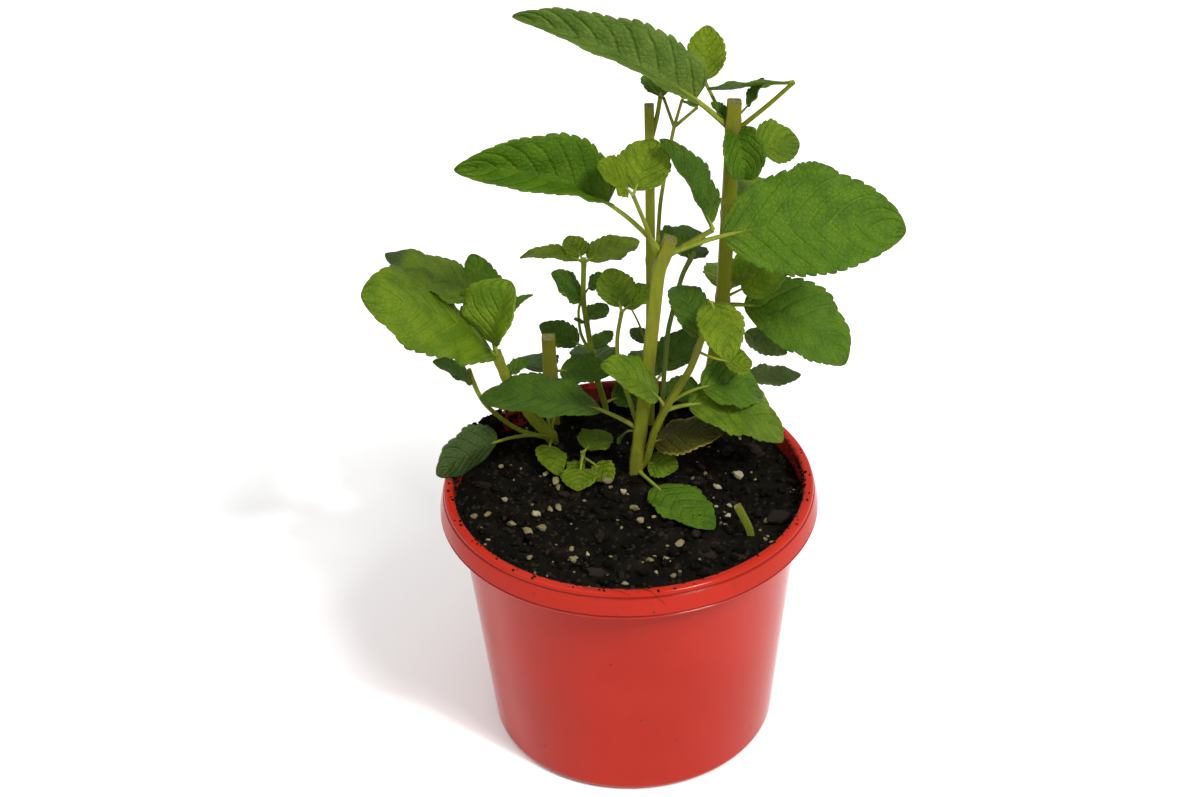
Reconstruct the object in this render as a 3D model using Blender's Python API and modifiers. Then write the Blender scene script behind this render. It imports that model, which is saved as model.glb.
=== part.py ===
"""A mint plant growing from several cut stems in a red plastic pot with a stepped rim.

The origin is the centre of the pot's underside, +Z is up and -Y is the front of the plant.
Sizes are written in millimetres and angles in degrees, and become metres as the meshes are made.
"""

import math
from collections import namedtuple

import bmesh
import bpy
from mathutils import Vector, noise

MM = 0.001

# The pot's outer radii and heights
RIM_RADIUS = 70.0
LIP_RADIUS = 68.3
POT_HEIGHT = 105.4
COLLAR_HEIGHT = 10.1
BODY_TOP_RADIUS = 63.0
BASE_RADIUS = 53.4
WALL = 2.0
LIP_ROUND = 1.4
LIP_INNER_RADIUS = 64.4
STEP_HEIGHT = 4.3
FLOOR_TOP = 4.2
BASE_ROUND = 3.5
BASE_DISC_RADIUS = 19.0
RECESS_RADIUS = 46.0
RECESS_DEPTH = 2.0
TURN_STEPS = 48

# Holes that let water out through the recess under the floor
DRAIN_HOLES = 6
DRAIN_RADIUS = 4.0
DRAIN_RING_RADIUS = 33.0

# The potting mix, and the gap that it keeps to the pot and to each stem
GAP = 0.3
SOIL_TOP = 98.0
SOIL_RINGS = 6
SOIL_BUMP = 1.1
SOIL_BUMP_SIZE = 9.0
HOLLOW_CENTRE = Vector((-7.0, -28.0))
HOLLOW_RADIUS = 15.0
HOLLOW_DEPTH = 2.6
STEM_FOOT = 90.0
HOLE_SIDES = 8

# Blades and petioles
BLADE_THICKNESS = 0.7
BLADE_FULLNESS = 0.65
TOOTH_DEPTH = 0.09
TOOTH_LEAN = 0.3
EDGE_WAVE = 0.07
WAVES = 2.5
RIB_STEPS = 16
PETIOLE_STEP = 7.0
RIB_SHARE = 0.12
LARGE_LEAF = 36.0
MIDDLE_LEAF = 22.5
SMALL_LEAF = 14.5

# A leaf's petiole and midrib are one arc: it leaves the shoot at this share of the shoot's
# length, towards this azimuth (0 is +X, 90 is +Y) and pitch, and droops evenly to the tip.
# Roll turns the blade about its midrib, and cup lifts its two halves.
Leaf = namedtuple(
    "Leaf", "at azimuth pitch droop petiole length width roll cup bend twist widest"
)
Leaf.__new__.__defaults__ = (0, 10, 0, 0, 0.42)
Shoot = namedtuple("Shoot", "thickness path leaves")

GREEN = (0.11, 0.24, 0.05)
BRIGHT_GREEN = (0.2, 0.36, 0.05)
OLIVE = (0.2, 0.22, 0.05)

# Each plant stem, with its side shoots. The first shoot of each stands in the soil.
STEMS = {
    "stem_front": (
        GREEN,
        [
            # The main stem, cut above its upper node
            Shoot(
                5.0,
                [
                    (3, 15, STEM_FOOT),
                    (3, 15, 101),
                    (6, 15, 126),
                    (9, 16, 152),
                    (12.5, 18, 184),
                    (17, 18, 197),
                ],
                [
                    Leaf(0.93, 190, 60, 55, 31, 60, 35, -25, 50, bend=10, twist=-40, widest=0.35),
                    Leaf(0.93, 0, 25, 40, 22, 66, 39, 50, widest=0.46),
                    Leaf(0.25, 180, 40, 50, 17, 46, 27, 0, 5, widest=0.5),
                    Leaf(0.16, -15, 45, 45, 8, 28, 17, 20, -10),
                    Leaf(0.12, -25, 10, 10, 5, 12, 12, 30),
                    Leaf(0.09, -60, 0, 0, 14, 34, 20, 0, bend=10),
                    Leaf(0.24, 145, 5, 95, 6, 9, 5, 0, 0),
                ],
            ),
            # Side shoots from the axils of the upper node, between the two largest leaves
            Shoot(
                1.6,
                [(12, 18, 190), (8, 13, 206), (4, 10, 219)],
                [Leaf(1, 205, 55, 15, 3, 17, 17, -30, 15), Leaf(1, 65, 35, 5, 2, 21, 20, 10, 15)],
            ),
            Shoot(
                2.0,
                [(13, 18, 188), (24, 18, 195), (32, 18, 200)],
                [Leaf(1, 175, 70, 15, 2, 38, 18, -20, 35)],
            ),
            # The slender shoot that leans back and forks in three
            Shoot(1.6, [(12, 20, 188), (13.7, 34, 202), (16.8, 44, 215), (19.4, 49, 225)], []),
            Shoot(1.2, [(19.4, 49, 225), (15.9, 50, 236)], [Leaf(1, 120, 25, 20, 1, 13, 10, 0, 20)]),
            Shoot(1.2, [(19.4, 49, 225), (22.3, 50, 235)], [Leaf(1, 60, 20, 20, 1, 10, 7, 0, 20)]),
            Shoot(1.2, [(19.4, 49, 225), (27.7, 50, 232)], [Leaf(1, 110, 0, 20, 1, 9, 6, 0, 20)]),
            # The leafy shoot from the foot of the main stem, leaning out to the right
            Shoot(
                2.6,
                [
                    (4, 15, 100),
                    (7, 13.5, 104),
                    (10, 10, 120),
                    (14.5, 8, 132),
                    (23.5, 8, 148),
                    (27.5, 9, 160),
                    (31, 10, 175),
                ],
                [
                    Leaf(0.8, 110, 60, 80, 1, 28, 15, 0, 15),
                    Leaf(1, -75, -5, 50, 1, 24, 17, 0),
                    Leaf(0.75, 15, -40, -35, 12, 11, 13, 20),
                    Leaf(0.44, 15, 35, 80, 14, 26, 22, 20, 5),
                    Leaf(0.42, 190, 65, 45, 6, 27, 19, -20, widest=0.4),
                    Leaf(0.4, 5, 20, 80, 9, 42, 25, 20, 5, bend=-5),
                ],
            ),
            # The stalk from the lower node that carries a pair of leaves
            Shoot(
                1.8,
                [(5, 16, 114), (1, 20, 128), (-3, 25, 139), (-3, 28, 150), (-1, 29, 160)],
                [Leaf(1, 105, 40, 20, 2, 17, 15, 0, 15), Leaf(1, 35, 30, 25, 2, 15, 13, 0, 15)],
            ),
        ],
    ),
    "stem_middle": (
        GREEN,
        [
            Shoot(
                3.6,
                [(9, 47, STEM_FOOT), (9, 47, 114), (10, 46, 155), (10.5, 45, 222), (10.5, 45, 236)],
                [
                    Leaf(0.17, 90, 10, 30, 6, 26, 18, 0),
                    Leaf(0.16, 50, 30, 10, 10, 22, 18, 0, 15),
                    Leaf(0.3, 135, 35, 30, 2, 9, 8, 0),
                    Leaf(0.18, 165, 95, 45, 35, 12, 10, 0),
                    Leaf(0.56, 45, 20, 40, 7, 22, 16, 10, 5),
                ],
            ),
            Shoot(
                1.8,
                [(10.5, 45, 220), (13.5, 45, 232), (14.5, 45, 239)],
                [Leaf(1, 80, 40, 20, 1, 13, 9, 0)],
            ),
        ],
    ),
    "stem_back_right": (
        GREEN,
        [
            Shoot(
                5.4,
                [
                    (29, 46, STEM_FOOT),
                    (29, 46, 101),
                    (33, 47, 122),
                    (36.5, 45, 150),
                    (38.5, 42, 192),
                    (40.5, 40, 239),
                ],
                [
                    Leaf(0.92, 190, 50, 40, 19, 72, 30, -35, 50, bend=-25, widest=0.26),
                    Leaf(0.95, 10, 40, -30, 7, 12, 9, 0, 20),
                    Leaf(0.94, 155, 40, 0, 3, 8, 7, 0, 20),
                    Leaf(0.93, -70, -20, 70, 1, 19, 23, 5, 50, twist=15, widest=0.51),
                    Leaf(0.88, 25, -10, 0, 10, 18, 18, 35),
                    Leaf(0.72, 35, 0, 5, 30, 20, 13, 20),
                    Leaf(0.69, 60, 0, 25, 11, 40, 24, 0),
                    Leaf(0.42, 0, 5, 70, 8, 50, 30, 38, widest=0.45),
                    Leaf(0.44, 0, 30, 5, 8, 20, 16, 30),
                    Leaf(0.44, 35, 40, 5, 7, 20, 13, 10, 20),
                    Leaf(0.44, 80, 5, 30, 7, 32, 20, 0),
                    Leaf(0.36, -10, -15, 15, 10, 18, 10, 33, 0),
                    Leaf(0.2, 15, -10, 0, 15, 22, 12, 10, 0),
                Leaf(0.15, 180, 15, 25, 3, 15, 13, -20),
                ],
            ),
            # The leaf that its stalk holds out to the right, seen along its edge
            Shoot(
                1.6,
                [(40.5, 40, 227), (53, 38, 239), (61, 36, 248)],
                [Leaf(1, 155, -10, 10, 1, 33, 12, 33, 0, widest=0.5)],
            ),
            # The short shoot from the top node whose leaf stands up behind the largest leaf
            Shoot(
                1.4,
                [(39, 42, 226), (34, 51, 234), (31, 58, 238)],
                [Leaf(1, 85, 45, 5, 1, 21, 15, 0, 20)],
            ),
        ],
    ),
    "stem_left": (
        BRIGHT_GREEN,
        [
            Shoot(
                4.4,
                [
                    (-28, 36, STEM_FOOT),
                    (-28, 36, 100),
                    (-35, 35, 109),
                    (-40, 34, 119),
                    (-45, 32, 131),
                    (-48, 30, 143),
                ],
                [
                    Leaf(0.94, 195, 60, 45, 2, 62, 43, 0, -5, bend=5, twist=-35, widest=0.5),
                    Leaf(1, 40, 100, 55, 4, 26, 29, -5, 30, twist=20, widest=0.52),
                    Leaf(0.99, 100, 40, 15, 9, 34, 17, 0, 20, bend=10),
                    Leaf(1, 95, 45, 45, 4, 27, 6, 0, bend=-70),
                    Leaf(0.8, 25, 30, 15, 1, 10, 8, 0),
                    Leaf(0.18, 225, 35, 45, 31, 31, 20, 85, 15, twist=15),
                    Leaf(0.18, -105, 15, 30, 8, 18, 12, -15, bend=40),
                    Leaf(0.2, 150, 85, 40, 13, 9, 7, 0),
                    Leaf(0.2, 35, 85, 40, 13, 9, 7, 0),
                ],
            ),
            # The thin side shoot that leans out over the rim
            Shoot(
                1.8,
                [(-30, 36, 100), (-41, 38, 102), (-48, 38, 108), (-54, 38, 115), (-57, 38, 122), (-59, 38, 131)],
                [Leaf(0.85, 185, 50, 25, 1, 18, 13, 0), Leaf(0.65, 35, 35, 10, 1, 8, 5, 0, 0)],
            ),
            # The short shoot from the top that holds the leaf above the widest one
            Shoot(
                1.6,
                [(-48, 31, 141), (-50, 38, 150), (-52, 42, 158.5)],
                [Leaf(1, 165, 30, 15, 2, 39, 28, 5, 0)],
            ),
        ],
    ),
    "shoot_back_left": (
        BRIGHT_GREEN,
        [
            Shoot(
                2.4,
                [
                    (-8, 56, STEM_FOOT),
                    (-8, 56, 100),
                    (-11, 54, 114),
                    (-13.5, 52, 134),
                    (-15.5, 50, 153),
                    (-14.5, 48, 172),
                ],
                [
                    Leaf(0.98, 165, 25, 55, 2, 24, 10, 0),
                    Leaf(0.98, 30, 10, 10, 2, 22, 17, 0),
                    Leaf(0.98, 115, 25, 10, 3, 11, 10, 0),
                    Leaf(0.77, 195, 50, 0, 1, 17, 13, -30),
                    Leaf(0.78, -10, 70, 35, 5, 9, 7, 30, 0),
                    Leaf(0.64, 50, 15, 5, 2, 10, 10, 0),
                    Leaf(0.64, 205, 35, 10, 1, 5, 4, 0, 0),
                    Leaf(0.48, 45, 20, 10, 1, 11, 8, 0),
                    Leaf(0.47, 155, 20, 5, 6, 17, 12, -20),
                    Leaf(0.32, 95, 5, 25, 6, 24, 18, 0),
                Leaf(0.15, 10, 25, 35, 3, 20, 14, 25),
                ],
            ),
            Shoot(1.2, [(-12.5, 53, 126), (-17, 51, 137), (-17.5, 50, 150), (-15.5, 50, 154)], []),
        ],
    ),
    "cut_stump": (
        OLIVE,
        [
            Shoot(
                5.4,
                [(-28.5, 47.5, STEM_FOOT), (-28.5, 47.5, 101), (-29, 47.5, 138.5)],
                [Leaf(0.6, 110, 5, 30, 6, 22, 16, 0), Leaf(0.68, 345, 15, 20, 4, 20, 15, 15)],
            ),
        ],
    ),
    "sprout_front_left": (
        BRIGHT_GREEN,
        [
            Shoot(
                2.0,
                [(-17, 22, STEM_FOOT), (-17, 22, 103)],
                [
                    Leaf(0.75, 240, 0, 10, 2, 8, 7, 0),
                    Leaf(0.97, 50, 15, 20, 2, 13, 15, 0),
                    Leaf(0.9, -95, 0, 5, 9, 13, 14, 0),
                    Leaf(0.8, -55, 15, 35, 8, 11, 10, 20),
                ],
            ),
        ],
    ),
    "shoot_behind": (
        GREEN,
        [
            Shoot(
                2.0,
                [
                    (13, 39, STEM_FOOT),
                    (13, 39, 102),
                    (14.5, 39, 127),
                    (16, 39, 145),
                    (21.5, 38, 170),
                    (26, 37, 180),
                ],
                [Leaf(0.95, 70, 0, 10, 2, 12, 10, 0), Leaf(0.97, 130, 30, 10, 1, 12, 10, 0)],
            ),
        ],
    ),
    "stem_stub": (OLIVE, [Shoot(2.8, [(44, -25, STEM_FOOT), (44, -25, 99), (39, -24.5, 110)], [])]),
}


def clear_scene():
    for obj in list(bpy.data.objects):
        bpy.data.objects.remove(obj, do_unlink=True)


def new_collection(name):
    collection = bpy.data.collections.new(name)
    bpy.context.scene.collection.children.link(collection)
    return collection


def material(name, color, roughness):
    made = bpy.data.materials.new(name)
    made.use_nodes = True
    shader = made.node_tree.nodes["Principled BSDF"]
    shader.inputs["Base Color"].default_value = (*color, 1)
    shader.inputs["Roughness"].default_value = roughness
    shader.inputs["Metallic"].default_value = 0
    return made


def place(name, mesh, collection):
    obj = bpy.data.objects.new(name, mesh)
    collection.objects.link(obj)
    return obj


def applied(obj):
    """The object again, with its modifiers or its curve turned into plain mesh."""
    bpy.context.view_layer.update()
    graph = bpy.context.evaluated_depsgraph_get()
    mesh = bpy.data.meshes.new_from_object(obj.evaluated_get(graph))
    name, collection, world = obj.name, obj.users_collection[0], obj.matrix_world.copy()
    bpy.data.objects.remove(obj, do_unlink=True)
    bm = bmesh.new()
    bm.from_mesh(mesh)
    bmesh.ops.remove_doubles(bm, verts=bm.verts, dist=1e-6)
    bm.to_mesh(mesh)
    bm.free()
    made = place(name, mesh, collection)
    made.matrix_world = world
    return made


def boolean(obj, operation, collection, solver="EXACT"):
    modifier = obj.modifiers.new(operation.lower(), "BOOLEAN")
    modifier.operation = operation
    modifier.solver = solver
    modifier.operand_type = "COLLECTION"
    modifier.collection = collection


def finish(obj, made_material, sharp_angle):
    obj.data.materials.clear()
    obj.data.materials.append(made_material)
    obj.data.shade_smooth()
    obj.data.set_sharp_from_angle(angle=math.radians(sharp_angle))


def arc(centre, radius, start, end, steps):
    """(radius, height) points along a round corner of a turned profile."""
    angles = [math.radians(start + (end - start) * i / steps) for i in range(steps + 1)]
    return [(centre[0] + radius * math.cos(a), centre[1] + radius * math.sin(a)) for a in angles]


def turned(name, profile, collection):
    bm = bmesh.new()
    points = [bm.verts.new((r * MM, 0, z * MM)) for r, z in profile]
    for first, second in zip(points, points[1:]):
        bm.edges.new((first, second))
    mesh = bpy.data.meshes.new(name)
    bm.to_mesh(mesh)
    bm.free()
    obj = place(name, mesh, collection)
    screw = obj.modifiers.new("turn", "SCREW")
    screw.steps = screw.render_steps = TURN_STEPS
    screw.use_merge_vertices = True
    screw.merge_threshold = 1e-5
    return applied(obj)


def body_radius(height):
    """The pot's outer radius below its collar."""
    share = height / (POT_HEIGHT - COLLAR_HEIGHT)
    return BASE_RADIUS + (BODY_TOP_RADIUS - BASE_RADIUS) * share


def inner_steps(inset):
    """(radius, height) up the pot's inside, over the step that carries the collar."""
    collar_base = POT_HEIGHT - COLLAR_HEIGHT
    step_base = collar_base - STEP_HEIGHT + 1
    return [
        (body_radius(step_base) - WALL - inset, step_base),
        (LIP_INNER_RADIUS - inset, collar_base),
    ]


def pot_profile():
    """From the middle of the floor, up the inside, over the lip and down to the underside."""
    collar_base = POT_HEIGHT - COLLAR_HEIGHT
    step_base = collar_base - STEP_HEIGHT
    lip = POT_HEIGHT - LIP_ROUND
    return [
        (0, FLOOR_TOP),
        (body_radius(FLOOR_TOP) - WALL, FLOOR_TOP),
        *inner_steps(0),
        *arc((LIP_INNER_RADIUS + LIP_ROUND, lip), LIP_ROUND, 180, 90, 2),
        *arc((LIP_RADIUS - LIP_ROUND, lip), LIP_ROUND, 90, 0, 2),
        (RIM_RADIUS, collar_base + 0.8),
        (RIM_RADIUS - 0.5, collar_base),
        (RIM_RADIUS - 1.8, collar_base),
        (RIM_RADIUS - 2.8, collar_base + 0.5),
        (body_radius(step_base), step_base),
        *arc((body_radius(BASE_ROUND) - BASE_ROUND, BASE_ROUND), BASE_ROUND, 0, -90, 3),
        (RECESS_RADIUS + 1, 0),
        (RECESS_RADIUS, RECESS_DEPTH),
        (BASE_DISC_RADIUS + 1, RECESS_DEPTH),
        (BASE_DISC_RADIUS, 0),
        (0, 0),
    ]


def add_pot(collection, cutters):
    pot = turned("pot", pot_profile(), collection)
    drains = bpy.data.collections.new("drains")
    cutters.children.link(drains)
    for i in range(DRAIN_HOLES):
        turn = 2 * math.pi * (i + 0.5) / DRAIN_HOLES
        centre = (DRAIN_RING_RADIUS * math.cos(turn), DRAIN_RING_RADIUS * math.sin(turn))
        add_cutter(f"drain_{i}", centre, (-1, FLOOR_TOP + 1), DRAIN_RADIUS, 12, drains)
    boolean(pot, "DIFFERENCE", drains)
    finish(pot, material("red_plastic", (0.55, 0.045, 0.025), 0.28), 35)


def add_cutter(name, centre, heights, radius, sides, collection):
    bm = bmesh.new()
    depth = heights[1] - heights[0]
    bmesh.ops.create_cone(
        bm,
        cap_ends=True,
        segments=sides,
        radius1=radius * MM,
        radius2=radius * MM,
        depth=depth * MM,
    )
    mesh = bpy.data.meshes.new(name)
    bm.to_mesh(mesh)
    bm.free()
    cutter = place(name, mesh, collection)
    cutter.location = (centre[0] * MM, centre[1] * MM, (heights[0] + depth / 2) * MM)
    cutter.hide_render = True
    cutter.display_type = "WIRE"


def soil_height(x, y):
    """The crumbly surface, with the shallow hollow at the front."""
    bump = noise.noise(Vector((x, y, 0)) / SOIL_BUMP_SIZE) * SOIL_BUMP
    away = (Vector((x, y)) - HOLLOW_CENTRE).length / HOLLOW_RADIUS
    hollow = HOLLOW_DEPTH * (0.5 + 0.5 * math.cos(math.pi * away)) if away < 1 else 0
    return SOIL_TOP + bump - hollow


def add_soil(collection, cutters):
    floor = FLOOR_TOP + GAP
    edge = LIP_INNER_RADIUS - 1.4 * GAP
    profile = [(edge * i / SOIL_RINGS, SOIL_TOP) for i in range(SOIL_RINGS + 1)]
    profile += reversed(inner_steps(1.4 * GAP))
    profile += [(body_radius(floor) - WALL - GAP, floor), (0, floor)]
    soil = turned("potting_mix", profile, collection)
    for vertex in soil.data.vertices:
        x, y, z = vertex.co / MM
        if abs(z - SOIL_TOP) < 0.01 and math.hypot(x, y) < edge - 1:
            vertex.co.z = soil_height(x, y) * MM
    holes = bpy.data.collections.new("stem_holes")
    cutters.children.link(holes)
    for name, (_, shoots) in STEMS.items():
        foot = shoots[0].path[0]
        corner = shoots[0].thickness / math.sqrt(2)
        radius = (corner + GAP) / math.cos(math.pi / HOLE_SIDES)
        add_cutter(f"{name}_hole", foot[:2], (STEM_FOOT - GAP, SOIL_TOP + 8), radius, HOLE_SIDES, holes)
    boolean(soil, "DIFFERENCE", holes)
    finish(soil, material("potting_mix", (0.015, 0.012, 0.01), 0.95), 30)


def heading(azimuth, pitch):
    a, p = math.radians(azimuth), math.radians(pitch)
    return Vector((math.cos(p) * math.cos(a), math.cos(p) * math.sin(a), math.sin(p)))


def rib_point(leaf, start, distance):
    """The place at this distance along the arc of the petiole and midrib."""
    share = distance / (leaf.petiole + leaf.length)
    point = Vector(start)
    for i in range(RIB_STEPS):
        k = share * (i + 0.5) / RIB_STEPS
        step = heading(leaf.azimuth + leaf.bend * k, leaf.pitch - leaf.droop * k)
        point += step * distance / RIB_STEPS
    return point


def blade_point(leaf, start, u, v, tooth):
    """u runs from the blade's base to its tip, and v from its left edge (-1) to its right (1)."""
    distance = leaf.petiole + u * leaf.length
    share = distance / (leaf.petiole + leaf.length)
    azimuth = leaf.azimuth + leaf.bend * share
    pitch = leaf.pitch - leaf.droop * share
    upward = heading(azimuth, pitch + 90)
    sideways = heading(azimuth, pitch).cross(upward)
    roll = math.radians(leaf.roll + leaf.twist * u)
    face = upward * math.cos(roll) + sideways * math.sin(roll)
    across = sideways * math.cos(roll) - upward * math.sin(roll)
    power = math.log(0.5) / math.log(leaf.widest)
    half = leaf.width / 2 * max(math.sin(math.pi * u**power), 0) ** BLADE_FULLNESS
    cup = math.radians(leaf.cup)
    wave = EDGE_WAVE * v * v * math.sin(2 * math.pi * WAVES * u + leaf.azimuth)
    half *= 1 + tooth
    point = rib_point(leaf, start, distance)
    return point + across * (v * half * math.cos(cup)) + face * (half * (abs(v) * math.sin(cup) + wave))


def add_blade(name, leaf, start, collection):
    rows = 4 + sum(leaf.length > limit for limit in (SMALL_LEAF, MIDDLE_LEAF, LARGE_LEAF, LARGE_LEAF))
    columns = 4 if leaf.length > LARGE_LEAF else 2
    bm = bmesh.new()
    bmesh.ops.create_grid(bm, x_segments=columns, y_segments=rows, size=1)
    sides = [e for e in bm.edges if all(abs(abs(v.co.x) - 1) < 1e-4 for v in e.verts)]
    bmesh.ops.subdivide_edges(bm, edges=sides, cuts=1)
    for vertex in bm.verts:
        u, v = (vertex.co.y + 1) / 2, vertex.co.x
        between_rows = abs(u * rows - round(u * rows)) > 0.25
        if between_rows:
            u += TOOTH_LEAN / rows
        vertex.co = blade_point(leaf, start, min(u, 1), v, TOOTH_DEPTH if between_rows else 0) * MM
    bmesh.ops.remove_doubles(bm, verts=bm.verts, dist=1e-6)
    bmesh.ops.triangulate(bm, faces=bm.faces)
    mesh = bpy.data.meshes.new(name)
    bm.to_mesh(mesh)
    bm.free()
    blade = place(name, mesh, collection)
    solidify = blade.modifiers.new("thickness", "SOLIDIFY")
    solidify.thickness = BLADE_THICKNESS * MM
    solidify.offset = 0
    applied(blade)


def add_tube(name, points, radii, collection):
    """A four-sided stalk, square as mint stems are."""
    curve = bpy.data.curves.new(name, "CURVE")
    curve.dimensions = "3D"
    curve.bevel_depth = MM
    curve.bevel_resolution = 0
    curve.use_fill_caps = True
    spline = curve.splines.new("POLY")
    spline.points.add(len(points) - 1)
    for point, place_of, radius in zip(spline.points, points, radii):
        point.co = (*(Vector(place_of) * MM), 1)
        point.radius = radius
    tube = place(name, curve, collection)
    return applied(tube)


def shoot_point(path, share):
    """The place at this share of the path's length."""
    points = [Vector(p) for p in path]
    lengths = [(b - a).length for a, b in zip(points, points[1:])]
    left = share * sum(lengths)
    for first, second, length in zip(points, points[1:], lengths):
        if left <= length:
            return first.lerp(second, left / length)
        left -= length
    return points[-1]


def add_leaf(name, leaf, shoot, collection):
    start = shoot_point(shoot.path, leaf.at)
    stalk = leaf.petiole + leaf.length * RIB_SHARE
    thick = 0.45 + 0.012 * leaf.length
    steps = max(1, round(stalk / PETIOLE_STEP))
    points = [rib_point(leaf, start, max(stalk * i / steps, 1e-3)) for i in range(steps + 1)]
    radii = [thick * (1 - 0.5 * i / steps) for i in range(steps + 1)]
    add_tube(f"{name}_petiole", points, radii, collection)
    add_blade(f"{name}_blade", leaf, start, collection)


def add_stem(name, color, shoots, collection):
    pieces = new_collection(f"{name}_pieces")
    stem = None
    for i, shoot in enumerate(shoots):
        corner = shoot.thickness / math.sqrt(2)
        if stem is None:
            stem = add_tube(name, shoot.path, [corner] * len(shoot.path), collection)
        else:
            add_tube(f"{name}_shoot_{i}", shoot.path, [corner] * len(shoot.path), pieces)
        for j, leaf in enumerate(shoot.leaves):
            add_leaf(f"{name}_{i}_{j}", leaf, shoot, pieces)
    if pieces.objects:
        # An exact union of these many thin blades is slow and leaves loose scraps
        boolean(stem, "UNION", pieces, "MANIFOLD")
        stem = applied(stem)
    for obj in list(pieces.objects):
        bpy.data.objects.remove(obj, do_unlink=True)
    bpy.data.collections.remove(pieces)
    finish(stem, material(name, color, 0.55), 30)


def main():
    clear_scene()
    plant = new_collection("potted_mint_plant")
    cutters = new_collection("cutters")
    add_pot(plant, cutters)
    add_soil(plant, cutters)
    for name, (color, shoots) in STEMS.items():
        add_stem(name, color, shoots, plant)


main()
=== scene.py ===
import random
from collections import namedtuple
from functools import partial
from math import cos, exp, hypot, log, pi, radians, sin, sqrt

import bmesh
import bpy
from mathutils import Euler, Matrix, Vector, noise


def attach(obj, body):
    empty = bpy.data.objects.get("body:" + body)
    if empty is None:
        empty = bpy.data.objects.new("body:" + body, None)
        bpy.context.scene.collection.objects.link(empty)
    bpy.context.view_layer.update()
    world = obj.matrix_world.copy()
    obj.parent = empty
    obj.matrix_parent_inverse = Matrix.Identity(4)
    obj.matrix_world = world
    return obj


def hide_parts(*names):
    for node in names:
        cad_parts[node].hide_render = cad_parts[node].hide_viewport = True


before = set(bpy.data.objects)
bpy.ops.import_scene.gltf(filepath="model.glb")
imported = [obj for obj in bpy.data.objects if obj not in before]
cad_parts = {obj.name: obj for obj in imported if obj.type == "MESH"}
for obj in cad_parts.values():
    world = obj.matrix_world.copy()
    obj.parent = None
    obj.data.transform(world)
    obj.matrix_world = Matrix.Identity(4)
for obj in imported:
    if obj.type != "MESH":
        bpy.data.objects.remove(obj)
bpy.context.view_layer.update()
mm = 0.001
random.seed(11)
print("frame loaded,", len(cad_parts), "nodes")


# handling objects


def deselect():
    bpy.ops.object.select_all(action="DESELECT")


def only(obj):
    deselect()
    obj.select_set(True)
    bpy.context.view_layer.objects.active = obj


def modify(obj, kind, **settings):
    modifier = obj.modifiers.new(kind.lower(), kind)
    for key, value in settings.items():
        setattr(modifier, key, value)
    only(obj)
    bpy.ops.object.modifier_apply(modifier=modifier.name)


def edit(select, mode=None):
    # into edit mode, with all or nothing selected
    bpy.ops.object.mode_set(mode="EDIT")
    if mode:
        bpy.ops.mesh.select_mode(type=mode)
    bpy.ops.mesh.select_all(action=select)


def leaveEdit():
    # back to object mode, with the faces turned outwards
    bpy.ops.mesh.select_all(action="SELECT")
    bpy.ops.mesh.normals_make_consistent(inside=False)
    bpy.ops.mesh.select_all(action="DESELECT")
    bpy.ops.object.mode_set(mode="OBJECT")


def onRing(away, turn, z):
    # the point this far from the pot's axis
    return away * cos(turn), away * sin(turn), z


def grid(columns, rows):
    # a flat grid from -1 to 1 both ways
    deselect()
    bpy.ops.mesh.primitive_grid_add(x_subdivisions=columns, y_subdivisions=rows, size=2)
    return bpy.context.object


def freeze(obj):
    # location, turn and scale go into the mesh
    only(obj)
    bpy.ops.object.transform_apply(location=True, rotation=True, scale=True)
    return obj


def joined(name, parts):
    deselect()
    for part in parts:
        part.select_set(True)
    bpy.context.view_layer.objects.active = parts[0]
    if len(parts) > 1:
        bpy.ops.object.join()
    parts[0].name = parts[0].data.name = name
    return parts[0]


def dress(obj, materials):
    obj.data.materials.clear()
    for material in materials:
        obj.data.materials.append(material)


def copyOf(name, model):
    made = bpy.data.objects.new(name, model.data.copy())
    bpy.context.collection.objects.link(made)
    return made


def piece(obj, slotName, *nodes, sharpest=None):
    # smooth, but for the edges that are sharper than this angle
    if sharpest is None:
        obj.data.shade_smooth()
    else:
        only(obj)
        bpy.ops.object.shade_smooth_by_angle(angle=radians(sharpest))
    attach(obj, "root")
    if nodes:
        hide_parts(*nodes)


def paint(obj, name, colours):
    # one colour for each vertex, or one for all of them
    layer = obj.data.attributes.new(name, "FLOAT_COLOR", "POINT")
    count = len(obj.data.vertices)
    if not isinstance(colours, list):
        colours = [colours] * count
    layer.data.foreach_set("color", [c for colour in colours for c in (*colour, 1.0)])


def blend(a, b, share):
    return tuple(x + (y - x) * share for x, y in zip(a, b))


def ease(value, low, high):
    t = min(max((value - low) / (high - low), 0), 1)
    return t * t * (3 - 2 * t)


# materials


def plug(tree, entry, value):
    # a wire or a plain value into an input
    if isinstance(value, Wire):
        tree.links.new(value.socket, entry)
    else:
        entry.default_value = value


def arithmetic(operation, swapped=False):
    def method(self, other):
        return self.maths(operation, *((other, self) if swapped else (self, other)))

    return method


class Wire:
    # an output socket that can be added and multiplied like a number

    def __init__(self, tree, socket):
        self.tree = tree
        self.socket = socket

    def maths(self, operation, first, second):
        node = self.tree.nodes.new("ShaderNodeMath")
        node.operation = operation
        for entry, value in zip(node.inputs, (first, second)):
            plug(self.tree, entry, value)
        return Wire(self.tree, node.outputs[0])

    __add__ = __radd__ = arithmetic("ADD")
    __mul__ = __rmul__ = arithmetic("MULTIPLY")
    __sub__, __rsub__ = arithmetic("SUBTRACT"), arithmetic("SUBTRACT", True)

    def __abs__(self):
        return self.maths("ABSOLUTE", self, 0.0)

    def larger(self, other):
        return self.maths("MAXIMUM", self, other)


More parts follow.
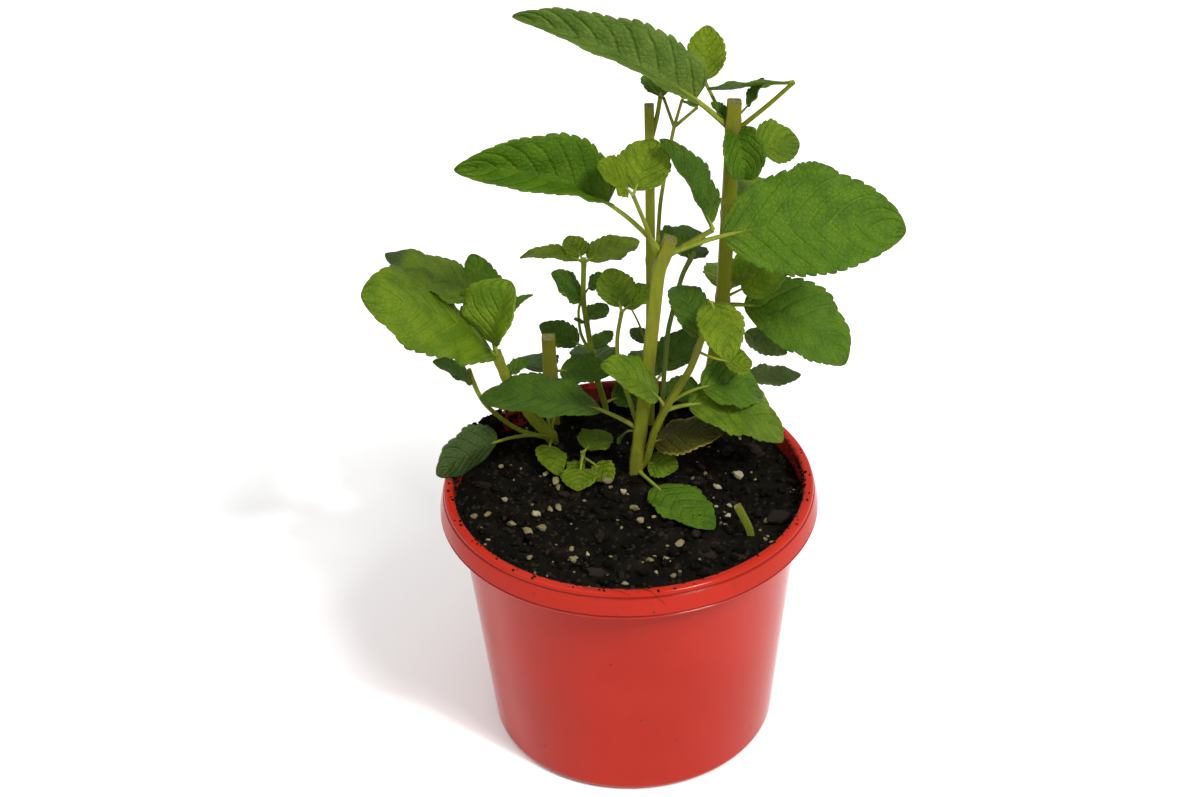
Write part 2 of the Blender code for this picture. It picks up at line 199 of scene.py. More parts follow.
class Finish:
    # a material and the nodes that go into it

    def __init__(self, name):
        self.material = bpy.data.materials.new(name)
        self.material.use_nodes = True
        self.tree = self.material.node_tree
        self.surface = self.tree.nodes["Principled BSDF"]
        self.output = self.tree.nodes["Material Output"]

    def node(self, kind, settings=None, values=None, out=0):
        made = self.tree.nodes.new("ShaderNode" + kind)
        for key, value in (settings or {}).items():
            setattr(made, key, value)
        for key, value in (values or {}).items():
            plug(self.tree, made.inputs[key], value)
        return Wire(self.tree, made.outputs[out])

    def painted(self, name):
        return self.node("Attribute", {"attribute_name": name})

    def place(self, stretch=(1, 1, 1)):
        # the point on the object in millimetres, squeezed along each axis
        point = self.node("TexCoord", out=3)
        scale = tuple(1000 * s for s in stretch)
        return self.node("Mapping", {"vector_type": "POINT"}, {"Vector": point, "Scale": scale})

    def clouds(self, point, size, detail=3, rough=0.55, dimensions="3D"):
        # noise with patches of about this size
        values = {"Vector": point, "Scale": 1 / size, "Detail": detail, "Roughness": rough}
        return self.node("TexNoise", {"noise_dimensions": dimensions}, values)

    def cells(self, point, size, feature="F1", dimensions="3D", out=0):
        settings = {"voronoi_dimensions": dimensions, "feature": feature}
        return self.node("TexVoronoi", settings, {"Vector": point, "Scale": 1 / size}, out)

    def step(self, value, low, high):
        values = {"Value": value, "From Min": low, "From Max": high}
        return self.node("MapRange", {"interpolation_type": "SMOOTHSTEP"}, values)

    def blotches(self, low, high, *cloud):
        # clouds, with what lies between low and high spread from 0 to 1
        return self.step(self.clouds(*cloud), low, high)

    def mix(self, share, first, second, way="MIX"):
        first, second = [(*c, 1.0) if isinstance(c, tuple) else c for c in (first, second)]
        return self.node("Mix", {"data_type": "RGBA", "blend_type": way}, {0: share, 6: first, 7: second}, 2)

    def split(self, vector):
        made = self.tree.nodes.new("ShaderNodeSeparateXYZ")
        plug(self.tree, made.inputs[0], vector)
        return [Wire(self.tree, out) for out in made.outputs]

    def shine(self, **values):
        # sockets of the surface, with _ for a space in the name
        for key, value in values.items():
            plug(self.tree, self.surface.inputs[key.replace("_", " ")], value)

    def relief(self, height, depth):
        # height 1 stands this many millimetres out
        bump = self.node("Bump", None, {"Height": height, "Strength": 1.0, "Distance": depth * mm})
        plug(self.tree, self.surface.inputs["Normal"], bump)

    def seeThrough(self, share, colour):
        # part of the light passes through the sheet
        thin = self.node("BsdfTranslucent", None, {"Color": colour})
        both = self.node("MixShader", None, {0: share, 1: Wire(self.tree, self.surface.outputs[0]), 2: thin})
        plug(self.tree, self.output.inputs[0], both)


def redPlastic():
    look = Finish("red_plastic")
    point = look.place()
    x, y, z = look.split(point)
    dust = look.blotches(0.45, 0.85, point, 30, 5, 0.65)
    streaks = look.clouds(look.place((1, 1, 0.08)), 5, 3)
    colour = look.mix(look.blotches(0.3, 0.7, point, 45, 2), (0.355, 0.0145, 0.0050), (0.315, 0.0125, 0.0042))
    colour = look.mix(0.03 * dust, colour, (0.36, 0.12, 0.09))
    # painted shade: dark lines in the two grooves of the collar
    outer = look.step(x * x + y * y, 67.3**2, 67.8**2)
    lines = (1 - look.step(abs(z - 103.35), 0.1, 0.5)).larger(1 - look.step(abs(z - 96.5), 0.1, 0.55))
    colour = look.mix(0.75 * lines * outer, colour, (0.13, 0.004, 0.003))
    # splashes of potting mix, most of them on the lip and inside it
    specks = look.cells(point, 2.6)
    which = look.split(look.cells(point, 2.6, out=1))[0]
    near = look.step(z, 92, 100)
    few = look.step(which, 0.955, 0.96)
    many = look.step(which, 0.82, 0.83) * near * look.blotches(0.5, 0.62, point, 16, 2)
    dots = (1 - look.step(specks, 0.10, 0.2)) * few.larger(many)
    smear = near * look.blotches(0.6, 0.72, point, 7, 5, 0.7) * look.step(0 - y - 0.4 * x, 0, 40)
    # a film of dirt on the inside, and more darkening in patches on the inside at the back
    inside = (1 - look.step(x * x + y * y, 64.8**2, 66.0**2)) * look.step(z, 95.6, 96.6)
    film = 0.7 * look.step(y, 25, 50) * look.blotches(0.3, 0.6, point, 5, 4, 0.7)
    film = film.larger(0.85 * look.blotches(0.44, 0.6, point, 2.4, 5, 0.7))
    dirt = dots.larger(0.55 * smear).larger(inside * film)
    colour = look.mix(dirt, colour, (0.035, 0.016, 0.012))
    look.shine(Base_Color=colour, Coat_Weight=0.04, Coat_Roughness=0.04, Specular_IOR_Level=0.12)
    look.shine(Roughness=0.13 + 0.08 * dust + 0.04 * streaks + 0.5 * dirt)
    scratches = look.blotches(0.66, 0.7, look.place((0.5, 0.5, 6)), 9, 2, 0.4)
    peel = look.clouds(point, 1.1, 2) * 0.25 + look.clouds(point, 12, 1) * 1.0
    look.relief(peel - 0.2 * scratches + 1.5 * dirt, 0.03)
    return look.material


def pottingMix():
    look = Finish("potting_mix")
    point = look.place()
    patches = look.clouds(point, 9, 5, 0.65)
    grit = look.clouds(point, 0.7, 6, 0.7)
    colour = look.mix(look.step(patches, 0.42, 0.66), (0.0028, 0.0024, 0.0014), (0.0080, 0.0064, 0.0038))
    colour = look.mix(look.step(grit, 0.6, 0.72), colour, (0.022, 0.015, 0.009))
    shade = look.split(look.cells(point, 1.3, out=1))[1]
    colour = look.mix(0.55 * look.step(shade, 0.9, 0.93), colour, (0.030, 0.023, 0.014))
    look.shine(Base_Color=colour, Roughness=0.72 + 0.25 * look.clouds(point, 2.0, 2), Specular_IOR_Level=0.05)
    look.relief(grit + 0.7 * look.clouds(point, 2.2, 4, 0.6), 0.7)
    return look.material


def grainStone():
    look = Finish("pale_grit")
    point = look.place()
    tone = look.painted("grainTone")
    stain = look.blotches(0.45, 0.68, point, 0.9, 4, 0.7)
    colour = look.mix(0.55 * stain, tone, (0.16, 0.11, 0.06))
    look.shine(Base_Color=colour, Roughness=0.65 + 0.2 * stain, Specular_IOR_Level=0.35)
    look.relief(look.clouds(point, 0.35, 4, 0.7), 0.12)
    return look.material


def woodyBit():
    look = Finish("woody_bits")
    tone = look.painted("grainTone")
    point = look.place()
    grain = look.clouds(point, 0.5, 5, 0.7)
    colour = look.mix(look.step(grain, 0.4, 0.65), tone, (0.010, 0.0065, 0.0045))
    look.shine(Base_Color=colour, Roughness=0.75 + 0.2 * grain, Specular_IOR_Level=0.1)
    look.relief(grain, 0.25)
    return look.material


def leafSkin(name, under):
    look = Finish(name)
    tone = look.painted("leafTone")
    lines = look.split(look.node("UVMap", {"uv_map": "veinLines"}))
    plane = look.node("UVMap", {"uv_map": "leafPlane"})
    side = abs(look.split(plane)[0])
    fromEdge = 1 - look.step(abs(lines[1]), 0.72, 1.0)
    branch = lines[0].maths("PINGPONG", lines[0], 0.5)
    vein = (1 - look.step(branch, 0.0, 0.085)) * fromEdge
    groove = (1 - look.step(branch, 0.0, 0.2)) * fromEdge
    midrib = 1 - look.step(side, 0.12, 0.6)
    drift = look.node("TexNoise", {"noise_dimensions": "2D"}, {"Vector": plane, "Scale": 0.35}, 1)
    wavy = look.mix(0.12, plane, drift, "ADD")
    mesh = look.cells(wavy, 2.1, "DISTANCE_TO_EDGE", "2D")
    net = 1 - look.step(mesh, 0.0, 0.14)
    finer = 1 - look.step(look.cells(wavy, 0.95, "DISTANCE_TO_EDGE", "2D"), 0.0, 0.16)
    broad = look.clouds(plane, 9, 3, 0.55, "2D")
    small = look.clouds(plane, 0.6, 3, 0.6, "2D")
    warm = look.mix(0.55, tone, (0.32, 0.38, 0.06))
    if under:
        colour = look.mix(0.34, tone, (0.22, 0.30, 0.11))
        colour = look.mix(0.25 * net, colour, warm)
        colour = look.mix(0.5 * vein, colour, warm)
        colour = look.mix(0.75 * midrib, colour, warm)
        height = 0.35 * midrib + 0.28 * groove + 0.10 * net + 0.04 * finer
        look.shine(Roughness=0.58 + 0.14 * small, Specular_IOR_Level=0.14)
    else:
        colour = look.mix(look.step(broad, 0.35, 0.7), tone, look.mix(1.0, tone, (0.66, 0.76, 0.7), "MULTIPLY"))
        # painted shade: on the upper side the fine vein network and its finer mesh, which lie in grooves, are darkened
        colour = look.mix(0.4 * net, colour, look.mix(1.0, colour, (0.5, 0.58, 0.45), "MULTIPLY"))
        colour = look.mix(0.14 * finer, colour, (0.012, 0.03, 0.004))
        colour = look.mix(0.17 * vein, colour, warm)
        colour = look.mix(0.5 * midrib, colour, warm)
        height = 0.4 * (mesh.maths("MINIMUM", mesh, 0.4)) - 0.36 * groove - 0.3 * midrib - 0.07 * finer + 0.05 * small
        look.shine(Roughness=0.38 + 0.16 * small + 0.1 * broad, Specular_IOR_Level=0.16)
    look.shine(Base_Color=colour)
    look.relief(height, 1.2)
    look.seeThrough(0.36, look.mix(1.0, colour, (2.1, 1.9, 0.6), "MULTIPLY"))
    return look.material


def stalkSkin():
    look = Finish("mint_stalk")
    tone = look.painted("stalkTone")
    point = look.place()
    long = look.place((1, 1, 0.16))
    streak = look.blotches(0.35, 0.7, long, 1.6, 3)
    red = look.blotches(0.55, 0.72, long, 5.5, 4, 0.6)
    colour = look.mix(0.35 * streak, tone, look.mix(1.0, tone, (0.55, 0.7, 0.5), "MULTIPLY"))
    colour = look.mix(0.28 * red, colour, (0.14, 0.055, 0.012))
    fuzz = look.clouds(point, 0.25, 2)
    look.shine(Base_Color=colour, Roughness=0.45 + 0.2 * fuzz, Specular_IOR_Level=0.1)
    look.relief(0.5 * streak + 0.25 * fuzz, 0.16)
    return look.material


def cutFace():
    look = Finish("cut_pith")
    point = look.place()
    dry = look.blotches(0.4, 0.68, point, 1.0, 4, 0.65)
    look.shine(Base_Color=look.mix(dry, (0.135, 0.138, 0.026), (0.080, 0.062, 0.014)), Roughness=0.7 + 0.2 * dry)
    look.relief(look.clouds(point, 0.5, 3), 0.2)
    return look.material


def hairSkin():
    look = Finish("fine_hair")
    tint = look.clouds(look.place(), 3, 2)
    look.shine(Base_Color=look.mix(tint, (0.5, 0.52, 0.3), (0.72, 0.74, 0.6)), Roughness=0.5 + 0.1 * tint)
    return look.material


plastic, mix = redPlastic(), pottingMix()
grit, woody = grainStone(), woodyBit()
leafTop, leafUnder = leafSkin("leaf_upper", False), leafSkin("leaf_under", True)
stalkGreen, pith, hair = stalkSkin(), cutFace(), hairSkin()
print("materials made")


# the pot

pot = {
    "sides": 192,
    "rim": 70.0,
    "lip": 68.3,
    "lipInside": 64.4,
    "lipRound": 1.4,
    "height": 105.4,
    "collar": 10.1,
    "step": 4.3,
    "bodyTop": 63.0,
    "base": 53.4,
    "wall": 2.0,
    "floor": 4.2,
    "baseRound": 3.5,
    "recess": 46.0,
    "recessDepth": 2.0,
    "disc": 19.0,
    "drains": 6,
    "drainRadius": 4.0,
    "drainRing": 33.0,
    # the outside of the collar: (out from the lip or the rim, up from the collar's foot)
    "underLip": [(-0.25, 8.3), (-0.2, 7.9), (0.35, 7.6)],
    "collarFoot": [(-0.2, 2.2), (-0.05, 1.6), (-0.45, 1.3), (-0.4, 1.0), (0, 0.7), (-0.5, 0), (-1.8, 0), (-2.8, 0.5)],
}
collarBase = pot["height"] - pot["collar"]
stepBase = collarBase - pot["step"]


def bodyRadius(height):
    return pot["base"] + (pot["bodyTop"] - pot["base"]) * height / collarBase


def corner(centre, radius, start, end, steps):
    turns = [radians(start + (end - start) * i / steps) for i in range(steps + 1)]
    return [(centre[0] + radius * cos(t), centre[1] + radius * sin(t)) for t in turns]


def makePot():
    lipLevel = pot["height"] - pot["lipRound"]
    foot = pot["baseRound"]
    profile = [
        (bodyRadius(pot["floor"]) - pot["wall"] - 2.2, pot["floor"]),
        *corner((bodyRadius(6) - pot["wall"] - 2, pot["floor"] + 2), 2, -90, 0, 5),
        (bodyRadius(stepBase + 1) - pot["wall"], stepBase + 1),
        (pot["lipInside"], collarBase),
        *corner((pot["lipInside"] + pot["lipRound"], lipLevel), pot["lipRound"], 180, 90, 6),
        *corner((pot["lip"] - pot["lipRound"], lipLevel), pot["lipRound"], 90, 0, 6),
        *[(pot["lip"] + out, collarBase + up) for out, up in pot["underLip"]],
        *[(pot["rim"] + out, collarBase + up) for out, up in pot["collarFoot"]],
        (bodyRadius(stepBase) + 0.8, stepBase + 0.5),
        (bodyRadius(stepBase), stepBase - 0.6),
        (bodyRadius(60), 60),
        (bodyRadius(30), 30),
        *corner((bodyRadius(foot) - foot, foot), foot, 0, -90, 8),
        (pot["recess"] + 1, 0),
        (pot["recess"], pot["recessDepth"]),
        (pot["disc"] + 1, pot["recessDepth"]),
        (pot["disc"], 0),
    ]
    deselect()
    radius, height = profile[0]
    bpy.ops.mesh.primitive_circle_add(vertices=pot["sides"], radius=radius * mm, location=(0, 0, height * mm))
    obj = freeze(bpy.context.object)
    edit("SELECT")
    for (radius, height), (nextRadius, nextHeight) in zip(profile, profile[1:]):
        bpy.ops.mesh.extrude_region_move(TRANSFORM_OT_translate={"value": (0, 0, (nextHeight - height) * mm)})
        grow = nextRadius / radius
        bpy.ops.transform.resize(value=(grow, grow, 1), center_override=(0, 0, 0))
    bpy.ops.mesh.edge_face_add()  # the disc under the middle
    edit("DESELECT", "EDGE")
    bpy.ops.mesh.select_non_manifold()
    bpy.ops.mesh.edge_face_add()  # the floor inside
    leaveEdit()
    modify(obj, "BEVEL", width=0.3 * mm, segments=3, limit_method="ANGLE", angle_limit=radians(28))

    drills = []
    for i in range(pot["drains"]):
        turn = 2 * pi * (i + 0.5) / pot["drains"]
        deselect()
        bpy.ops.mesh.primitive_cylinder_add(
            vertices=40,
            radius=pot["drainRadius"] * mm,
            depth=10 * mm,
            location=Vector(onRing(pot["drainRing"], turn, 3)) * mm,
        )
        drills.append(freeze(bpy.context.object))
    drill = joined("drills", drills)
    modify(obj, "BOOLEAN", operation="DIFFERENCE", solver="EXACT", object=drill)
    bpy.data.objects.remove(drill)
    obj.name = obj.data.name = "red_pot"
    dress(obj, [plastic])
    piece(obj, "red_plastic", "pot", sharpest=32)


makePot()
print("pot made")


# potting mix, with what lies on it

soil = {
    "cells": 230,
    "radius": 64.1,
    "top": 98.0,
    "bump": 1.1,
    "bumpSize": 9.0,
    "hollow": Vector((-7, -28)),
    "hollowRadius": 15.0,
    "hollowDepth": 2.6,
    "lumpSize": 5.0,
    "lumps": 2.4,
    "crumbSize": 2.1,
    "crumbs": 1.25,
}


def soilHeight(x, y):
    at = Vector((x, y, 0))
    height = soil["top"] + noise.noise(at / soil["bumpSize"]) * soil["bump"]
    away = (Vector((x, y)) - soil["hollow"]).length / soil["hollowRadius"]
    if away < 1:
        height -= soil["hollowDepth"] * (0.5 + 0.5 * cos(pi * away))
    return height


def crumblyHeight(x, y):
    at = Vector((x, y, 3))
    lump = noise.voronoi(at / soil["lumpSize"])[0][0]
    crumb = noise.voronoi(at / soil["crumbSize"])[0][0]
    rough = 0.5 + 0.5 * noise.noise(at / 12)
    height = soilHeight(x, y) + soil["lumps"] * rough * (0.42 - lump)
    height += soil["crumbs"] * (0.45 - crumb) + 0.25 * noise.noise(at / 0.9)
    return height


def makeSoil():
    obj = grid(soil["cells"], soil["cells"])
    for vertex in obj.data.vertices:
        u, v = vertex.co.x, vertex.co.y
        x = soil["radius"] * u * sqrt(1 - v * v / 2)  # the square becomes a disc
        y = soil["radius"] * v * sqrt(1 - u * u / 2)
        vertex.co = Vector((x, y, crumblyHeight(x, y))) * mm
    edit("DESELECT", "EDGE")
    bpy.ops.mesh.select_non_manifold()
    bottom = pot["floor"] + 0.3
    for radius, height in ((bodyRadius(stepBase) - 2.6, stepBase + 1), (bodyRadius(bottom) - 2.9, bottom)):
        bpy.ops.mesh.extrude_region_move()
        bpy.ops.object.mode_set(mode="OBJECT")
        for vertex in obj.data.vertices:
            if vertex.select:
                away = hypot(vertex.co.x, vertex.co.y)
                vertex.co = (vertex.co.x * radius * mm / away, vertex.co.y * radius * mm / away, height * mm)
        bpy.ops.object.mode_set(mode="EDIT")
    bpy.ops.mesh.edge_face_add()
    leaveEdit()
    obj.name = obj.data.name = "potting_mix_body"
    dress(obj, [mix])
    piece(obj, "potting_mix", "potting_mix", sharpest=50)


def lumpShapes(count, rough, stretch):
    shapes = []
    for i in range(count):
        deselect()
        bpy.ops.mesh.primitive_ico_sphere_add(subdivisions=2, radius=1)
        shape = bpy.context.object
        for vertex in shape.data.vertices:
            push = 1 + rough * noise.noise(vertex.co * 1.3 + Vector((7 * i, 3, 1)))
            vertex.co = Vector((vertex.co.x * stretch, vertex.co.y, vertex.co.z * 0.75)) * push
        shapes.append(shape)
    return shapes


def scatter(name, material, shapes, places, tones=None, sharpest=None):
    # copies of the shapes at (x, y, z, size, turn), as one piece
    made = []
    for i, (x, y, z, size, turn) in enumerate(places):
        copy = copyOf(name, shapes[i % len(shapes)])
        tilt = Euler((random.uniform(-0.5, 0.5), random.uniform(-0.5, 0.5), turn)).to_matrix().to_4x4()
        copy.data.transform(Matrix.Translation(Vector((x, y, z)) * mm) @ tilt @ Matrix.Scale(size * mm / 2, 4))
        if tones:
            paint(copy, "grainTone", tones[i])
        made.append(copy)
    for shape in shapes:
        bpy.data.objects.remove(shape)
    obj = joined(name, made)
    dress(obj, [material])
    piece(obj, "potting_mix", sharpest=sharpest)


def anyTurn():
    return random.uniform(0, 6.3)


def onSoil(radius):
    turn = random.uniform(0, 2 * pi)
    return onRing(radius * sqrt(random.random()), turn, 0)[:2]


def resting(x, y, size, turn, raised):
    # lying on the potting mix, its middle raised by this share of its size
    return x, y, crumblyHeight(x, y) + raised * size, size, turn


crumbs = {"count": 620, "reach": 62.5, "least": 1.0, "spread": 2.8}


def makeCrumbs():
    places = []
    for _ in range(crumbs["count"]):
        x, y = onSoil(crumbs["reach"])
        size = crumbs["least"] + crumbs["spread"] * random.random() ** 2.5  # few of them are large
        places.append(resting(x, y, size, anyTurn(), 0.22))
    scatter("soil_crumbs", mix, lumpShapes(5, 0.9, 1.25), places)


# crumbs that stick to the rim: (turn round the rim, spread, how many)
rimCrumbs = [(140, 10, 26), (127, 6, 10), (-3, 9, 12), (12, 6, 5), (205, 12, 8), (232, 8, 6), (-118, 10, 5)]
rimCrumbs += [(-142, 26, 12), (-92, 30, 10), (-35, 28, 8), (182, 16, 8)]
lipCrumbs = {"count": 420, "turn": -95, "spread": 85, "size": (0.4, 1.3)}
heap = {"count": 34, "turn": 146, "spread": 4.5, "away": (62.0, 69.2), "tall": 2.6, "size": (1.8, 3.4)}


def makeRimCrumbs():
    places = []
    for turn, spread, count in rimCrumbs:
        for _ in range(count):
            angle = radians(random.gauss(turn, spread / 2))
            inside = random.random() < 0.6
            away = random.uniform(63.3, 64.6) if inside else random.uniform(65.6, 67.6)
            z = random.uniform(99, 104.2) if inside else pot["height"] + 0.1
            size = random.uniform(0.4, 1.0) * (2.2 if count > 20 else 1)
            places.append((*onRing(away, angle, z), size, anyTurn()))
    # fine crumbs along the inner edge of the lip, most of them at the front
    for _ in range(lipCrumbs["count"]):
        angle = radians(random.gauss(lipCrumbs["turn"], lipCrumbs["spread"]))
        away = pot["lipInside"] - 0.5 + 1.7 * random.random() ** 1.8
        inward = pot["lipInside"] + pot["lipRound"] - away
        onLip = sqrt(max(pot["lipRound"] ** 2 - inward**2, 0)) - 0.5 * random.random()
        z = pot["height"] - pot["lipRound"] + onLip
        places.append((*onRing(away, angle, z), random.uniform(*lipCrumbs["size"]), anyTurn()))
    # the heap over the rim at the back left
    for _ in range(heap["count"]):
        angle = radians(random.gauss(heap["turn"], heap["spread"]))
        away = random.uniform(*heap["away"])
        z = pot["height"] - 0.6 + heap["tall"] * random.random() * (1 - abs(away - 66.0) / 5)
        places.append((*onRing(away, angle, z), random.uniform(*heap["size"]), anyTurn()))
    scatter("rim_crumbs", mix, lumpShapes(5, 0.9, 1.2), places)


# pale grains where they stand out: x, y, size, turn
grains = [
    (-48, 21, 2.6, 80), (-46, -1, 2.2, 10), (-31, 14, 2.2, 0), (-27, 8, 3.4, 95), (-26, 5, 3.0, 70),
    (-43, -17, 3.4, 140), (-37, -22, 3.8, 150), (-34, -12, 3.2, 5), (-32, -20, 3.4, 170), (-29, -9, 2.8, 100),
    (-26, -8, 3.2, 110),
    (-57, -12, 2.4, 0), (-52, -11, 2.8, 20), (-2, 2, 2.6, 120), (-8, 7, 3.6, 5), (2, -9, 3.4, 175), (4, -16, 3.0, 140),
    (9, -15, 1.6, 0), (18, -31, 3.2, 30), (13, -42, 3.4, 115), (7, -41, 3.0, 150), (-20, -40, 3.4, 10),
    (-21, -32, 2.2, 60), (-15, -35, 2.4, 100), (-36, -38, 2.8, 60), (-2, -54, 2.2, 0), (15, -50, 2.0, 0),
    (29, 12, 1.9, 90), (41, 10, 4.0, 155), (33, 3, 3.0, 145), (37, -9, 2.0, 0), (36, -15, 2.2, 20), (35, -20, 1.6, 0),
    (50, -18, 2.4, 70), (51, -32, 1.7, 0), (61, 0, 2.2, 20), (47, 8, 2.2, 85), (32, -9, 1.6, 0), (7, -20, 1.2, 0),
    (-7, -34, 1.4, 0), (25, -40, 1.4, 0),
]
smallGrains = {"count": 80, "reach": 61.0, "size": (0.6, 1.4)}
creams = [(0.19, 0.16, 0.07), (0.15, 0.12, 0.045), (0.12, 0.10, 0.035), (0.26, 0.23, 0.13), (0.10, 0.11, 0.03)]


def makeGrains():
    places, tones = [], []
    for x, y, size, turn in grains:
        places.append((x, y, crumblyHeight(x, y) + 0.42 * size, size * 0.8, radians(turn)))
        tones.append(random.choice(creams[:4]))
    for _ in range(smallGrains["count"]):
        x, y = onSoil(smallGrains["reach"])
        size = random.uniform(*smallGrains["size"])
        places.append(resting(x, y, size, anyTurn(), 0.3))
        tones.append(blend(random.choice(creams), (0.1, 0.07, 0.04), random.uniform(0.25, 0.8)))
    scatter("pale_grains", grit, lumpShapes(5, 0.55, 1.35), places, tones, 40)


# bark chips in the same way, the first one is the brownish lump at the right
chips = [
    (55, -17, 6.5, 40), (-12, -47, 4.2, 0), (38, 26, 4.6, 70), (-54, 8, 4.0, 20), (24, -24, 3.6, 100),
    (48, 28, 4.4, 150),
]
smallChips = {"count": 20, "reach": 58, "size": (2.0, 3.6)}


def makeChips():
    spots = list(chips)
    for _ in range(smallChips["count"]):
        spots.append((*onSoil(smallChips["reach"]), random.uniform(*smallChips["size"]), random.uniform(0, 360)))
    places, tones = [], []
    for x, y, size, turn in spots:
        places.append(resting(x, y, size, radians(turn), 0.18))
        tones.append(blend((0.007, 0.0050, 0.003), (0.020, 0.013, 0.008), random.random()))
    scatter("bark_chips", woody, lumpShapes(4, 0.6, 1.7), places, tones, 35)


makeSoil()
makeCrumbs()
makeRimCrumbs()
makeGrains()
makeChips()
print("potting mix made")


# stalks


def lengthOf(points):
    return sum((b - a).length for a, b in zip(points, points[1:]))


def shootPoint(path, share):
    points = [Vector(p) for p in path]
    left = share * lengthOf(points)
    for first, second in zip(points, points[1:]):
        length = (second - first).length
        if left <= length:
            return first.lerp(second, left / length)
        left -= length
    return points[-1]


def evenPath(path, spacing, rounds):
    count = max(2, round(lengthOf([Vector(p) for p in path]) / spacing))
    even = [shootPoint(path, i / count) for i in range(count + 1)]
    for _ in range(rounds):  # the bends become soft
        middle = [(a + 2 * b + c) / 4 for a, b, c in zip(even, even[1:], even[2:])]
        even = [even[0], *middle, even[-1]]
    return even


def stalk(points, radii, sides, tones, square=0.0, cut=False):
    # a grid rolled up round the path, square=1 for the corners of a mint stem
    steps = len(points) - 1
    obj = grid(steps, sides)
    ahead = [(points[min(i + 1, steps)] - points[max(i - 1, 0)]).normalized() for i in range(steps + 1)]
    side = ahead[0].orthogonal() if abs(ahead[0].x) > 0.9 else Vector((1, 0, 0)) - ahead[0] * ahead[0].x
    frames = []
    for direction in ahead:
        side = (side - direction * side.dot(direction)).normalized()
        frames.append((side, direction.cross(side)))
    colours = []
    for vertex in obj.data.vertices:
        i = round((vertex.co.x + 1) / 2 * steps)
        turn = pi * (vertex.co.y + 1)
        c, s = abs(cos(turn)), abs(sin(turn))
        flat = (c**5 + s**5) ** -0.2 * (1 - 0.06 * cos(2 * turn) ** 2)
        radius = radii[i] * (1 + square * (flat - 1))
        across, up = frames[i]
        vertex.co = (points[i] + (across * cos(turn) + up * sin(turn)) * radius) * mm
        colours.append(tones[i])
    paint(obj, "stalkTone", colours)
    edit("SELECT")
    bpy.ops.mesh.remove_doubles(threshold=1e-6)
    edit("DESELECT", "EDGE")
    bpy.ops.mesh.select_non_manifold()
    bpy.ops.mesh.fill_holes(sides=0)
    leaveEdit()
    dress(obj, [stalkGreen, pith])
    if cut:
        for face in obj.data.polygons:
            face.select = len(face.vertices) == sides and face.normal.dot(ahead[-1]) > 0.8
        bpy.ops.object.mode_set(mode="EDIT")
        bpy.ops.mesh.select_mode(type="FACE")
        bpy.ops.mesh.inset(thickness=0.18 * radii[-1] * mm, depth=-0.1 * mm)
        bpy.ops.object.mode_set(mode="OBJECT")
        for face in obj.data.polygons:
            face.material_index = int(face.select)
    return obj


# leaves

# The petiole and the midrib of a leaf are one arc that droops evenly, as in the CAD part.
fields = "at azimuth pitch droop petiole length width roll cup bend twist widest tone"
Leaf = namedtuple("Leaf", fields, defaults=(0, 10, 0, 0, 0.42, "mature"))
Shoot = namedtuple("Shoot", "thickness path leaves")

tones = {
    "mature": (0.094, 0.182, 0.007),
    "young": (0.165, 0.235, 0.006),
    "dark": (0.064, 0.130, 0.006),
    "grey": (0.066, 0.102, 0.030),
    "dull": (0.160, 0.220, 0.075),
    "old": (0.070, 0.062, 0.004),
    "fresh": (0.138, 0.215, 0.008),
    "greyTip": (0.138, 0.215, 0.008),
    "bright": (0.205, 0.310, 0.018),
    # sheen: a greyer, bluer tone that stands in for a painted sheen
    "sheen": (0.132, 0.204, 0.032),
}
# a leaf of each tone but the first, which is the usual one
young, dark, grey, dull, old, fresh, greyTip, bright, sheen = [partial(Leaf, tone=key) for key in list(tones)[1:]]
stalkTones = {
    "stem_front": (0.150, 0.165, 0.010),
    "stem_middle": (0.155, 0.178, 0.010),
    "stem_back_right": (0.132, 0.144, 0.003),
    "stem_left": (0.190, 0.225, 0.016),
    "shoot_back_left": (0.150, 0.200, 0.014),
    "cut_stump": (0.120, 0.120, 0.009),
    "sprout_front_left": (0.190, 0.250, 0.024),
    "shoot_behind": (0.085, 0.125, 0.018),
    "stem_stub": (0.120, 0.150, 0.014),
}
foot = 90

